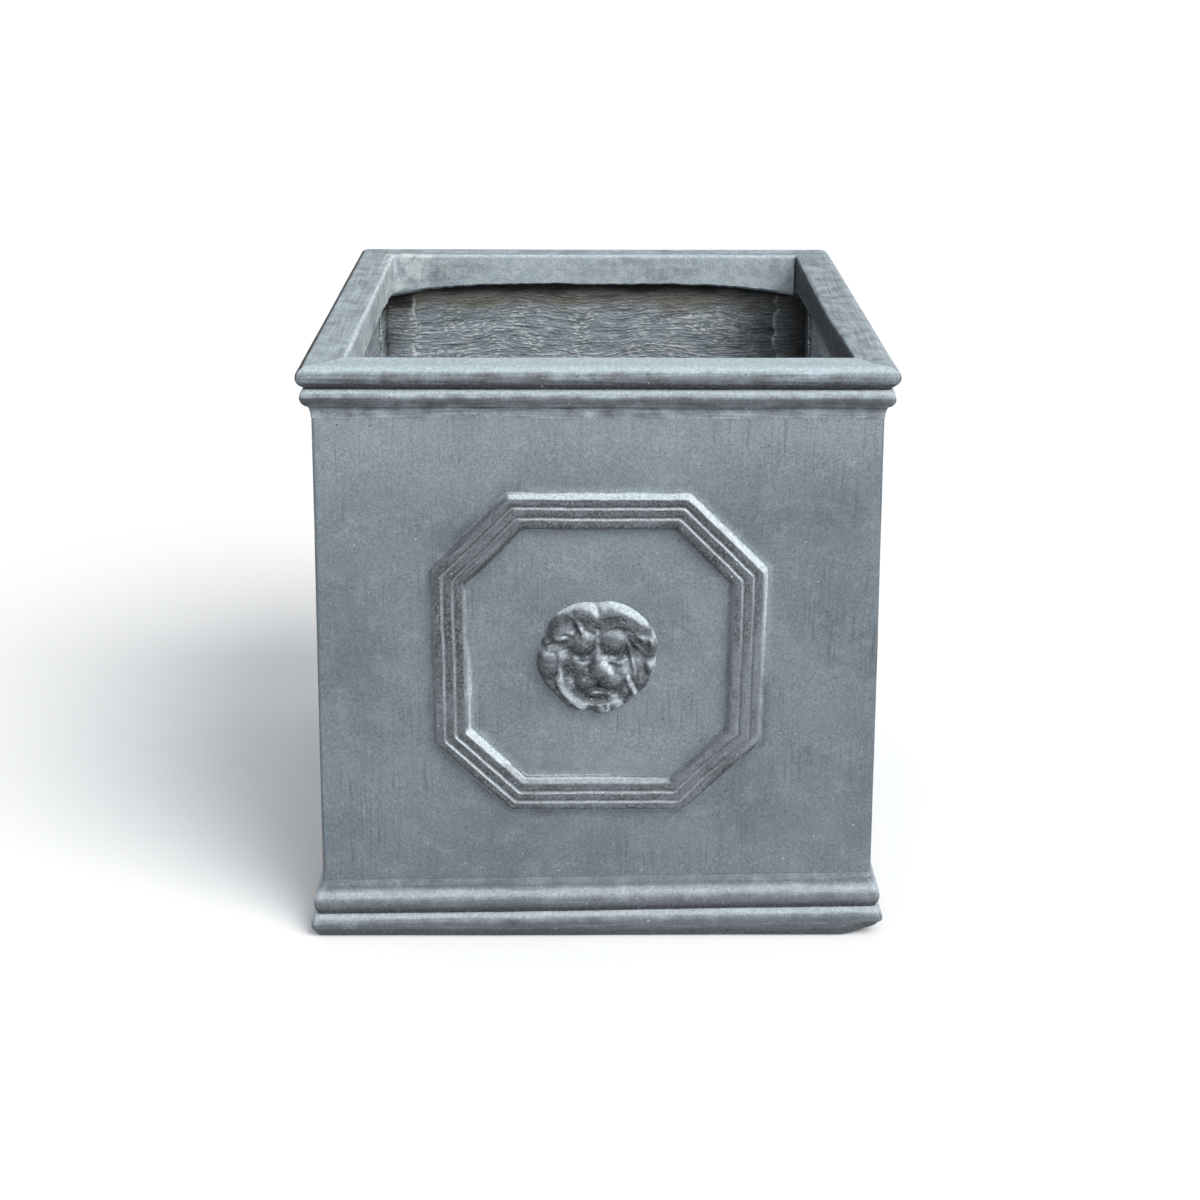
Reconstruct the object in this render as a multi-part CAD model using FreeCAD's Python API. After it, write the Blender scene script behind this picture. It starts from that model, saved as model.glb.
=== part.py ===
import FreeCAD, Part
import math
import os

# A square box planter of cast concrete, in millimetres. It stands on z = 0 with its middle on the Z axis
# and its front towards -Y. Each of its four sides carries the same pieces, turned a quarter at a time.

# Outside sizes
height = 417.0
rim_half = 195.0
plinth_half = 205.0

# Wall panels, which lean in a little towards the top. The coping and the base moulding stand proud of them.
wall_thickness = 10.0
plinth_projection = 8.5
rim_projection = 9.0
rim_cover = 14.0

# Thin bed of mortar between pieces that are set beside each other
mortar_joint = 0.3

# Coping round the top: bullnose, quirk, lower bead, cove, and the lip that hangs inside the mouth
rim_width = 31.0
mouth_round = 2.5
nosing_depth = 15.3
quirk_inset = 4.2
quirk_gap = 2.0
rim_bead_inset = 2.4
rim_bead_drop = 4.4
rim_bead_depth = 13.0
rim_bead_foot_proud = 2.2
rim_cove_depth = 5.6
feather_edge = 0.8
lip_depth_corner = 36.0
lip_depth_middle = 25.0

# Base moulding: undercut foot, lower bead, quirk, upper bead and a cove that dies into the wall
plinth_foot_inset = 3.5
plinth_undercut = 7.5
plinth_bead_top = 13.0
plinth_quirk_height = 20.2
plinth_quirk_inset = 4.6
plinth_quirk_gap = 1.4
upper_bead_proud = 6.4
upper_bead_widest = 29.0
upper_bead_shoulder = 35.0
upper_bead_shoulder_proud = 4.3
plinth_cove_top = 46.0

# Octagonal panel moulding with three ridges, set in from the wall's corners, coping and base moulding
panel_margin_side = 76.4
panel_margin_end = 50.5
octagon_corner_leg = 53.0
ridge_band = 25.0
ridge_relief = 6.0
ridge_groove = 2.2
ridge_crest_shares = (0.22, 0.50, 0.78)
ridge_groove_shares = (0.38, 0.62)

# Lion-head boss: a face dome in a ring of curls. Each lobe has its place across and up the face, its
# radius (shares of the mask's radius) and the height of its crown (a share of the relief).
mask_lift = 1.0
mask_radius = 43.0
mask_relief = 12.5
face_dome_shares = (0, 0, 1.35, 0.7)
curl_count = 11
curl_ring_share = 0.7
curl_radius_share = 0.34
curl_crown_shares = (0.56, 0.68)
paired_lobe_shares = (
    (0.17, 0.55, 0.30, 0.84),
    (0.50, 0.38, 0.28, 0.76),
    (0.55, -0.02, 0.26, 0.70),
    (0.46, -0.40, 0.26, 0.72),
    (0.23, 0.20, 0.26, 1.0),
    (0.34, -0.14, 0.24, 0.8),
    (0.13, -0.30, 0.24, 0.94),
)
middle_lobe_shares = (
    (0, 0.02, 0.20, 0.92),
    (0, -0.17, 0.22, 1.0),
    (0, -0.52, 0.24, 0.84),
)

# Floor and its drain hole
floor_underside = 12.0
floor_thickness = 14.0
drain_radius = 14.0

# Mat laps in the inside corners
strip_leg = 32.0
strip_thickness = 2.5

# Cutting shapes run past what they cut by this much
overrun = 5.0

# Heights and angles that follow from the sizes above
SIDES = ("front", "right", "back", "left")
CORNERS = ("front_left", "front_right", "back_right", "back_left")
quarter_turn = 90.0
wall_top = height - rim_cover
wall_foot_half = plinth_half - plinth_projection
wall_top_half = rim_half - rim_projection
mouth_half = rim_half - rim_width
floor_top = floor_underside + floor_thickness
cove_end = height - nosing_depth - quirk_gap - rim_bead_depth - rim_cove_depth
panel_height = (plinth_cove_top + cove_end) / 2
reach = max(rim_half, plinth_half) + overrun
up = FreeCAD.Vector(0, 0, 1)
sideways = FreeCAD.Vector(1, 0, 0)


def wall_outer(z):
    """Distance from the planter's middle to the wall's outer face at a height."""
    return wall_foot_half + (wall_top_half - wall_foot_half) * z / wall_top


def wall_inner(z):
    """Distance from the planter's middle to the wall's inner face at a height."""
    return wall_outer(z) - wall_thickness


def at(out, z):
    """Point of a front moulding's section: out from the planter's middle, and up."""
    return FreeCAD.Vector(0, -out, z)


def outline(start, *moves):
    """Closed face from moves to one point (straight) or through one point to another (an arc)."""
    edges = []
    here = start
    for move in moves:
        if len(move) == 1:
            edges.append(Part.LineSegment(here, move[0]).toShape())
        else:
            edges.append(Part.Arc(here, move[0], move[1]).toShape())
        here = move[-1]
    edges.append(Part.LineSegment(here, start).toShape())
    return Part.Face(Part.Wire(edges))


def prism(points, z_low, z_high):
    """Upright prism on a plan outline."""
    corners = [FreeCAD.Vector(x, y, z_low) for x, y in points]
    face = Part.Face(Part.makePolygon(corners + corners[:1]))
    return face.extrude(FreeCAD.Vector(0, 0, z_high - z_low))


def mitred_length(face):
    """Front length of a section: run along the side and cut back to the mitre joints at both corners."""
    run = face.extrude(FreeCAD.Vector(reach + reach, 0, 0))
    run.translate(FreeCAD.Vector(-reach, 0, 0))
    apex = -mortar_joint / math.sqrt(2)
    wedge = prism([(0, apex), (-reach, apex - reach), (reach, apex - reach)], -overrun, height + overrun)
    return run.common(wedge)


def turned(shape, quarters):
    """Copy of a front piece, turned to one of the four sides."""
    copy = shape.copy()
    copy.rotate(FreeCAD.Vector(0, 0, 0), up, quarter_turn * quarters)
    return copy


def on_panel(shape, z):
    """A relief piece, modelled flat with +Z outwards, seated on the front wall's leaning face."""
    lean = math.degrees(math.atan2(wall_foot_half - wall_top_half, wall_top))
    seat = FreeCAD.Placement(at(wall_outer(z), z), FreeCAD.Rotation(sideways, quarter_turn - lean))
    placed = shape.copy()
    placed.Placement = seat.multiply(placed.Placement)
    return placed


def wall():
    """Wall panel: a leaning slab from the ground to the underside of the coping."""
    section = outline(
        at(wall_inner(0), 0),
        (at(wall_outer(0), 0),),
        (at(wall_outer(wall_top), wall_top),),
        (at(wall_inner(wall_top), wall_top),),
    )
    return mitred_length(section)


def rim():
    """Coping length, grooved underneath to sit over the wall's top edge."""
    radius = nosing_depth / 2
    nose_out = rim_half - radius
    nose_z = height - radius
    quirk_out = rim_half - quirk_inset
    quirk_z = nose_z - math.sqrt(radius ** 2 - (quirk_out - nose_out) ** 2)
    bead_top = height - nosing_depth - quirk_gap
    bead_foot = bead_top - rim_bead_depth
    bead_foot_out = wall_outer(bead_foot) + rim_bead_foot_proud
    cove_out = wall_outer(cove_end) + feather_edge + mortar_joint
    cove_middle = at((bead_foot_out + cove_out + cove_out) / 3, (bead_foot + cove_end) / 2)
    groove_out = wall_outer(wall_top) + mortar_joint
    groove_in = wall_inner(wall_top) - mortar_joint
    lip_foot = height - lip_depth_corner
    round_rise = mouth_round * (1 - math.sqrt(0.5))
    section = outline(
        at(nose_out, height),
        (at(rim_half, nose_z), at(quirk_out, quirk_z)),
        (at(quirk_out, bead_top),),
        (at(rim_half - rim_bead_inset, bead_top - rim_bead_drop), at(bead_foot_out, bead_foot)),
        (cove_middle, at(cove_out, cove_end)),
        (at(wall_outer(cove_end) + mortar_joint, cove_end),),
        (at(groove_out, wall_top),),
        (at(groove_in, wall_top),),
        (at(wall_inner(lip_foot) - mortar_joint, lip_foot),),
        (at(mouth_half, lip_foot),),
        (at(mouth_half, height - mouth_round),),
        (at(mouth_half + round_rise, height - round_rise), at(mouth_half + mouth_round, height)),
    )
    return mitred_length(section).cut(lip_arch())


def lip_arch():
    """Shallow arch that is cut out of the lip's lower edge, so that it hangs lowest at the corners."""
    lip_foot = height - lip_depth_corner
    left = FreeCAD.Vector(-mouth_half, -wall_inner(lip_foot), lip_foot)
    crown = FreeCAD.Vector(0, -wall_inner(lip_foot), height - lip_depth_middle)
    right = FreeCAD.Vector(mouth_half, -wall_inner(lip_foot), lip_foot)
    arch = outline(left, (crown, right))
    arch.translate(FreeCAD.Vector(0, -wall_thickness / 2, 0))
    return arch.extrude(FreeCAD.Vector(0, wall_inner(lip_foot) - mouth_half + wall_thickness, 0))


def plinth():
    """Base moulding length, bonded to the outside of the wall's foot."""
    foot_out = plinth_half - plinth_foot_inset
    quirk_out = plinth_half - plinth_quirk_inset
    shoulder_out = (plinth_half + plinth_half + quirk_out) / 3
    bead_shoulder = at(shoulder_out, (plinth_quirk_height + plinth_bead_top) / 2)
    upper_bead_foot = plinth_quirk_height + plinth_quirk_gap
    widest = at(wall_outer(upper_bead_widest) + upper_bead_proud, upper_bead_widest)
    upper_out = wall_outer(upper_bead_shoulder) + upper_bead_shoulder_proud
    cove_out = wall_outer(plinth_cove_top) + feather_edge
    cove_middle = at((upper_out + cove_out + cove_out) / 3, (upper_bead_shoulder + plinth_cove_top) / 2)
    section = outline(
        at(wall_outer(0), 0),
        (at(foot_out, 0),),
        (at(plinth_half, plinth_undercut),),
        (at(plinth_half, plinth_bead_top),),
        (bead_shoulder, at(quirk_out, plinth_quirk_height)),
        (at(quirk_out, upper_bead_foot),),
        (widest, at(upper_out, upper_bead_shoulder)),
        (cove_middle, at(cove_out, plinth_cove_top)),
        (at(wall_outer(plinth_cove_top), plinth_cove_top),),
    )
    return mitred_length(section)


def octagon(inset):
    """Corners of the panel's octagon, drawn in by an even inset all round."""
    half_x = wall_outer(panel_height) - panel_margin_side - inset
    half_y = (cove_end - plinth_cove_top) / 2 - panel_margin_end - inset
    leg = octagon_corner_leg - inset * (2 - math.sqrt(2))
    quarter = [(half_x - leg, half_y), (half_x, half_y - leg)]
    right = quarter + [(x, -y) for x, y in reversed(quarter)]
    return right + [(-x, -y) for x, y in right]


def ridge_section(origin, inward):
    """Section of the three ridges, standing on the panel across one run of the octagon."""
    def place(share, rise):
        return origin + inward * (ridge_band * share) + up * rise

    valley = ridge_relief - ridge_groove
    feet = [(0, 0)] + [(share, valley) for share in ridge_groove_shares] + [(1, 0)]
    moves = []
    for crest_share, (foot_share, foot_rise) in zip(ridge_crest_shares, feet[1:]):
        moves.append((place(crest_share, ridge_relief), place(foot_share, foot_rise)))
    return outline(place(0, 0), *moves)


def octagon_frame():
    """Eight mitred runs of the ridged moulding, cast as one frame."""
    outer = octagon(-overrun)
    inner = octagon(ridge_band + overrun)
    edge = octagon(0)
    runs = []
    for i in range(len(edge)):
        j = (i + 1) % len(edge)
        start = FreeCAD.Vector(*edge[i], 0)
        along = FreeCAD.Vector(*edge[j], 0) - start
        run_length = along.Length + ridge_band + ridge_band
        along.normalize()
        section = ridge_section(start - along * ridge_band, along.cross(up))
        run = section.extrude(along * run_length)
        wedge = prism([outer[i], outer[j], inner[j], inner[i]], -overrun, ridge_relief + overrun)
        runs.append(run.common(wedge))
    return runs[0].multiFuse(runs[1:]).removeSplitter()


def lobe(x_share, y_share, radius_share, crown_share):
    """Ball of the mask, given in shares of its radius and of its relief."""
    radius = mask_radius * radius_share
    centre = FreeCAD.Vector(mask_radius * x_share, mask_radius * y_share, mask_relief * crown_share - radius)
    return Part.makeSphere(radius, centre)


def lion_mask():
    """Lion head in low relief, flat at the back where it is bonded to the panel."""
    balls = []
    for i in range(curl_count):
        angle = 2 * math.pi * (i + 0.5) / curl_count + math.pi / 2
        across_share = curl_ring_share * math.cos(angle)
        up_share = curl_ring_share * math.sin(angle)
        balls.append(lobe(across_share, up_share, curl_radius_share, curl_crown_shares[i % 2]))
    for x_share, y_share, radius_share, crown_share in paired_lobe_shares:
        balls.append(lobe(x_share, y_share, radius_share, crown_share))
        balls.append(lobe(-x_share, y_share, radius_share, crown_share))
    for shares in middle_lobe_shares:
        balls.append(lobe(*shares))
    disc = Part.makeCylinder(mask_radius, mask_relief)
    raised = [ball.common(disc) for ball in balls]
    return lobe(*face_dome_shares).common(disc).multiFuse(raised)


def floor_slab():
    """Cast floor, let in between the walls above the ground, with the drain hole in its middle."""
    half = wall_inner(floor_top) - mortar_joint
    plan = [(-half, -half), (half, -half), (half, half), (-half, half)]
    slab = prism(plan, floor_underside, floor_top)
    drain_foot = FreeCAD.Vector(0, 0, floor_underside - overrun)
    drain = Part.makeCylinder(drain_radius, floor_thickness + 2 * overrun, drain_foot)
    return slab.cut(drain)


def strip_plan(z):
    """Plan of the mat lap at a height: two thin legs against the walls of the front left corner."""
    out = wall_inner(z) - mortar_joint
    leg = out - strip_leg
    skin = out - strip_thickness
    return [(-out, -out), (-leg, -out), (-leg, -skin), (-skin, -skin), (-skin, -leg), (-out, -leg)]


def corner_strip():
    """Mat lap folded into the front left inside corner, leaning with the walls from the floor to the lip."""
    rings = []
    for z in (floor_top + mortar_joint, height - lip_depth_corner - mortar_joint):
        rings.append([FreeCAD.Vector(x, y, z) for x, y in strip_plan(z)])
    low, high = rings
    outlines = [low, high]
    for i in range(len(low)):
        j = (i + 1) % len(low)
        outlines.append([low[i], low[j], high[j], high[i]])
    faces = [Part.Face(Part.makePolygon(points + points[:1])) for points in outlines]
    return Part.Solid(Part.Shell(faces))


def save(name, shape):
    """Write one piece's node, after a check that it is sound."""
    if not shape.isValid() or shape.Volume <= 0:
        raise RuntimeError(name + " is not a sound solid")
    shape.exportStep("parts/" + name + ".step")
    box = shape.BoundBox
    print("%-26s %d solid %9.0f mm3  %.1f x %.1f x %.1f" % (
        name, len(shape.Solids), shape.Volume, box.XLength, box.YLength, box.ZLength))


os.makedirs("parts", exist_ok=True)
side_pieces = {
    "wall": wall(),
    "rim": rim(),
    "plinth": plinth(),
    "octagon_frame": on_panel(octagon_frame(), panel_height),
    "lion_mask": on_panel(lion_mask(), panel_height + mask_lift),
}
for piece, shape in side_pieces.items():
    for quarters, side in enumerate(SIDES):
        save(piece + "_" + side, turned(shape, quarters))
strip = corner_strip()
for quarters, corner in enumerate(CORNERS):
    save("corner_strip_" + corner, turned(strip, quarters))
save("floor_slab", floor_slab())
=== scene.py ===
import math

import bmesh
import bpy
import numpy as np
from mathutils import Matrix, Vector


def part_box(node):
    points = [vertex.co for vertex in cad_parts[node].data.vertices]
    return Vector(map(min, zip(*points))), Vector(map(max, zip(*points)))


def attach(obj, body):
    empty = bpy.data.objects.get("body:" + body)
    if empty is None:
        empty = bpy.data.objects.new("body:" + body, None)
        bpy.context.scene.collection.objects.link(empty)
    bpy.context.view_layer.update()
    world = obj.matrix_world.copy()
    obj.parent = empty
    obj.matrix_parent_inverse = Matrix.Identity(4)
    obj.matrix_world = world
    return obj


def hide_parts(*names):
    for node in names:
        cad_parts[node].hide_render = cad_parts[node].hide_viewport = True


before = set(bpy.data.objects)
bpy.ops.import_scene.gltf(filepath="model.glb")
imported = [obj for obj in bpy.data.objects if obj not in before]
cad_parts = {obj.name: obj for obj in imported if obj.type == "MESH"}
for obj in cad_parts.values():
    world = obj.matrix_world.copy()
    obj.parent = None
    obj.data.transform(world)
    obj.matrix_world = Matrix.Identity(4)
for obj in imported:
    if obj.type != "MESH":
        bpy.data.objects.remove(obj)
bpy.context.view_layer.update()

# Walls
# Four panels of cast concrete that lean in a little. Each is pressed into a mould, so its outer face is
# smooth and is then rubbed to a lead grey. Its inner face is brushed on by hand and left rough.
SIDES = ("front", "right", "back", "left")
wall_box = np.array(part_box("wall_front")) * 1000
wall_foot = -wall_box[0, 1]
wall_top = wall_box[1, 2]
wall_thick = 10.0
wall_head = wall_thick - wall_box[1, 1]
wall_arris = 3.0
inner_corner = 0.3
outer_rows = 134
inner_rows = 236
wall_columns = 138
stroke_relief = 0.75
panel_middle = 214.5
panel_half = (113.2, 116.0)
panel_leg = 52.4
foot_chip = 6.5
sharp_angle = math.radians(42)
hollow_rounds = 12
lime_tone = (0.60, 0.66, 0.66, 1)
fibre_tone = (0.56, 0.60, 0.62, 1)
painted_glint_tone = (0.78, 0.82, 0.85, 1)
dirt_and_shadow_tone = (0.025, 0.027, 0.028, 1)
lattice_size = 64
lattice = np.random.default_rng(7).uniform(-1, 1, (lattice_size,) * 3)


def lumps(points, size, seed=0):
    """Smooth random heights from -1 to 1 at the points. A size may differ for each axis."""
    place = points / np.asarray(size, float) + seed * 17.3
    cell = np.floor(place).astype(int)
    part = place - cell
    part = part * part * (3 - 2 * part)
    total = 0
    for corner in np.ndindex(2, 2, 2):
        index = (cell + corner) % lattice_size
        weight = np.prod(np.where(corner, part, 1 - part), axis=-1)
        total = total + weight * lattice[index[..., 0], index[..., 1], index[..., 2]]
    return total


def smooth_step(values, start, end):
    """0 before start and 1 after end, with a soft change between them."""
    share = np.clip((values - start) / (end - start), 0, 1)
    return share * share * (3 - 2 * share)


def hump(values, middle, half):
    """1 at the middle, falling softly on both sides."""
    return np.exp(-((values - middle) / half) ** 2)


def wander(points, reach=0.35):
    """The points after the slow unevenness of a hand-filled mould, with the front right foot corner worn."""
    moves = [lumps(points, 110, seed) for seed in (1, 2, 3)]
    moved = points + reach * np.stack(moves, axis=-1)
    chipped = smooth_step(moved[..., 0] - moved[..., 1], 374, 402) * smooth_step(-moved[..., 2], -14, -1)
    moved[..., 2] = np.maximum(moved[..., 2], 0.05) + foot_chip * chipped
    return moved


def wall_out(z):
    """Distance from the middle to the wall's outer face at a height."""
    return wall_foot + (wall_head - wall_foot) * z / wall_top


def side_grid(out, z, corner, count, gap=0.05):
    """Front length of a section. Each row of points turns round its corners into the mitre at both ends."""
    out, z, corner = (np.asarray(values, float)[:, None] for values in (out, z, corner))
    straight = out - corner
    bend = np.linspace(math.pi / 4, 0, 4, endpoint=False)
    turn_x = straight + corner * np.sin(bend)
    turn_y = straight + corner * np.cos(bend)
    turn_x[:, 0] -= gap
    middle = straight * np.linspace(-1, 1, count)
    x = np.hstack([-turn_x, middle, turn_x[:, ::-1]])
    y = -np.hstack([turn_y, out + 0 * middle, turn_y[:, ::-1]])
    return np.dstack([x, y, z + 0 * x])


def grid_faces(rows, columns, round_columns=False):
    """Four-sided faces of a grid whose rows close on themselves, with its two ends capped."""
    row = np.arange(rows)[:, None]
    column = np.arange(columns if round_columns else columns - 1)[None, :]
    next_row, next_column = (row + 1) % rows, (column + 1) % columns
    corners = (row * columns + column, row * columns + next_column,
               next_row * columns + next_column, next_row * columns + column)
    faces = np.stack(corners, axis=-1).reshape(-1, 4).tolist()
    if not round_columns:
        faces.append([k * columns for k in range(rows)])
        faces.append([k * columns + columns - 1 for k in reversed(range(rows))])
    return faces


def turned(points, quarters):
    """Points of a front piece, turned to one of the four sides."""
    turn = np.array(Matrix.Rotation(math.pi / 2 * quarters, 3, "Z"))
    return points @ np.round(turn).T


def brush_map(along, across, quarters=0):
    """Brushing coordinates in millimetres along and across a piece, apart for each side."""
    along, across = np.broadcast_arrays(along, across)
    return np.stack([along, across, np.full(along.shape, 3170.0 * quarters)], axis=-1)


def towards_light(across, up):
    """From -1 to 1: how far a place round the panel's middle lies up and right, where the key light is."""
    return (0.55 * across + 0.83 * up) / (1 + np.hypot(across, up))


def spread(values, edges, rounds):
    """Values averaged with those of the neighbouring points, several times over."""
    values = values.copy()
    shape = (len(values),) + (1,) * (values.ndim - 1)
    for _ in range(rounds):
        total = values.copy()
        number = np.ones(len(values))
        for a, b in (edges.T, edges.T[::-1]):
            np.add.at(total, a, values[b])
            np.add.at(number, a, 1)
        values = total / number.reshape(shape)
    return values


def new_object(name, data):
    """A new object in the scene."""
    made = bpy.data.objects.new(name, data)
    bpy.context.scene.collection.objects.link(made)
    return made


def make_piece(name, node, points, faces, materials, run, extra=(), finish=None, hollow_size=0.5,
               dust_and_highlight_range=(0.12, 0.75), dust_and_highlight_side=(0, 0, 1)):
    """Mesh of one piece in place of its CAD node, with the dust and dirt that settle on its shape, painted
    highlight on faces towards a given side and painted shade on faces that look down.
    """
    mesh = bpy.data.meshes.new(name)
    points = points.reshape(-1, 3)
    mesh.from_pydata((points / 1000).tolist(), [], faces)
    build = bmesh.new()
    build.from_mesh(mesh)
    bmesh.ops.recalc_face_normals(build, faces=build.faces)
    build.to_mesh(mesh)
    build.free()
    mesh.polygons.foreach_set("use_smooth", [True] * len(mesh.polygons))
    mesh.set_sharp_from_angle(angle=sharp_angle)
    normals = np.zeros(len(points) * 3, np.float32)
    mesh.vertex_normals.foreach_get("vector", normals)
    normals = normals.reshape(-1, 3)
    edges = np.zeros(len(mesh.edges) * 2, np.int32)
    mesh.edges.foreach_get("vertices", edges)
    around = spread(points, edges.reshape(-1, 2), hollow_rounds)
    sunk = np.sum((around - points) * normals, axis=1) / hollow_size
    # Pale: dust, and painted highlight on faces towards a side. Dark: dirt in the hollows, and painted shade
    # on faces that look down.
    values = {
        "dust_and_highlight": smooth_step(normals @ dust_and_highlight_side, *dust_and_highlight_range) + np.clip(-sunk, 0, 1) * 0.12,
        "dirt_and_shade": np.clip(sunk, 0, 1) + smooth_step(-normals[:, 2], 0.02, 0.5) * 0.85,
    }
    for key, value in dict(extra).items():
        values[key] = np.clip(values.get(key, 0) + value.reshape(-1), 0, 1)
    for key, value in values.items():
        mesh.attributes.new(key, "FLOAT", "POINT").data.foreach_set("value", value.astype(np.float32))
    place = mesh.attributes.new("run_place", "FLOAT_VECTOR", "POINT")
    place.data.foreach_set("vector", (run.reshape(-1) / 1000).astype(np.float32))
    for material in materials:
        mesh.materials.append(material)
    if finish is not None:
        mesh.polygons.foreach_set("material_index", finish)
    piece = new_object(name, mesh)
    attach(piece, "root")
    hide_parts(node)


def add_node(kind, inputs, output=0, tree=None, **settings):
    """Adds a shader node, by default to its inputs' own tree, and returns one of its outputs."""
    linked = {key: value for key, value in inputs.items() if isinstance(value, bpy.types.NodeSocket)}
    if tree is None:
        tree = next(iter(linked.values())).id_data
    made = tree.nodes.new("ShaderNode" + kind)
    for key, value in settings.items():
        setattr(made, key, value)
    for key, value in inputs.items():
        if key in linked:
            tree.links.new(value, made.inputs[key])
        else:
            made.inputs[key].default_value = value
    return made.outputs[output]


def noise(place, scale, detail=2.0, stretch=(1, 1, 1)):
    """Noise from 0 to 1 at a scale in features per metre."""
    if stretch != (1, 1, 1):
        place = add_node("VectorMath", {0: place, 1: stretch}, operation="MULTIPLY")
    return add_node("TexNoise", {"Vector": place, "Scale": scale, "Detail": detail})


def ramp(value, start, end, low=0.0, high=1.0):
    """A value moved softly from one range to another."""
    inputs = {0: value, 1: start, 2: end, 3: low, 4: high}
    return add_node("MapRange", inputs, interpolation_type="SMOOTHSTEP")


def reckon(operation, a, b, clamp=False):
    """Result of one operation on two values."""
    return add_node("Math", {0: a, 1: b}, operation=operation, use_clamp=clamp)


def times(a, b):
    """Product of two values."""
    return reckon("MULTIPLY", a, b)


def blurred_edge(share, breakup, reach):
    """A share whose half-way values are broken up by a noise, while its 0 and 1 stay as they are."""
    middle = times(share, reckon("SUBTRACT", 1.0, share))
    swing = times(times(reckon("SUBTRACT", breakup, 0.5), middle), reach)
    return reckon("ADD", share, swing, clamp=True)


def mixed(share, a, b):
    """Colour between a and b."""
    return add_node("Mix", {0: share, 6: a, 7: b}, output=2, data_type="RGBA")


def attribute(tree, name, output=2):
    """Value that a mesh carries at its points."""
    return add_node("Attribute", {}, output, tree, attribute_name=name)


def new_material(name, roughness, specular):
    """A new material, its node tree and its shader."""
    material = bpy.data.materials.new(name)
    material.use_nodes = True
    shader = material.node_tree.nodes["Principled BSDF"]
    shader.inputs["Roughness"].default_value = roughness
    shader.inputs["Specular IOR Level"].default_value = specular
    return material, material.node_tree, shader


def relief(shader, layers):
    """Bump from layers of height and depth in metres, the finest last."""
    normal = None
    for height, depth in layers:
        inputs = {"Height": height, "Distance": depth, "Strength": 1.0}
        if normal is not None:
            inputs["Normal"] = normal
        normal = add_node("Bump", inputs)
    shader.id_data.links.new(normal, shader.inputs["Normal"])


def cast_finish(name, tone, rub_stretch, rub_share, streak_share, blur=6.0, speckle=0.16):
    """Lead-grey concrete: clouded and finely grained, rubbed dark, dusty on top with painted highlight,
    dirty in its hollows with painted shade.
    """
    material, tree, shader = new_material(name, 0.62, 0.35)
    place = add_node("TexCoord", {}, 3, tree)
    run = attribute(tree, "run_place", 1)
    grain = noise(place, 900, 1.0)
    clouds = noise(place, 11, 4.0)
    blots = noise(place, 75, 4.0)
    mottle = noise(place, 380, 3.0)
    base = mixed(ramp(clouds, 0.34, 0.66), tone[0], tone[1])
    base = mixed(ramp(blots, 0.45, 0.75, 0, 0.5), base, tone[2])
    brushing = noise(run, 1, 4.0, rub_stretch)
    patches = ramp(noise(place, 19, 3.0), 0.47, 0.66, 0, 0.6)
    patches = reckon("MAXIMUM", patches, attribute(tree, "stain"))
    rubs = times(times(ramp(brushing, 0.52, 0.68), patches), rub_share)
    base = mixed(rubs, base, tone[3])
    streaks = times(ramp(brushing, 0.45, 0.33), streak_share)
    base = mixed(streaks, base, tone[4])
    breakup = ramp(noise(place, 620, 4.0), 0.38, 0.6, 0.75 - 1.8 * speckle, 1.0)
    # Dirt and painted shade from the mesh darken the base; further down, dust and painted highlight pale it.
    base = mixed(times(attribute(tree, "dirt_and_shade"), breakup), base, tone[3])
    uneven = add_node("Mix", {0: 0.5, 2: brushing, 3: blots}, data_type="FLOAT")
    dust_and_highlight = blurred_edge(attribute(tree, "dust_and_highlight"), uneven, blur)
    dusty = ramp(mottle, 0.3, 0.6, 0.92, 1.0)
    base = mixed(times(dust_and_highlight, dusty), base, tone[4])
    crust = ramp(noise(place, 120, 4.0), 0.36, 0.6)
    base = mixed(times(attribute(tree, "bloom"), crust), base, lime_tone)
    flecks = ramp(noise(place, 330, 1.0), 0.76, 0.80)
    base = mixed(times(flecks, 0.6), base, tone[4])
    pits = ramp(noise(place, 420, 1.0), 0.25, 0.19)
    base = mixed(times(pits, 0.5), base, tone[5])
    shade = ramp(mottle, 0.3, 0.7, 0.92, 1.08)
    shade = times(ramp(grain, 0.25, 0.75, 1 - speckle, 1 + speckle), shade)
    base = add_node("VectorMath", {0: base, "Scale": shade}, operation="SCALE")
    tree.links.new(base, shader.inputs["Base Color"])
    tree.links.new(ramp(blots, 0.3, 0.7, 0.54, 0.72), shader.inputs["Roughness"])
    relief(shader, [(blots, 0.0005), (pits, -0.0005), (grain, 0.00025)])
    return material


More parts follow.
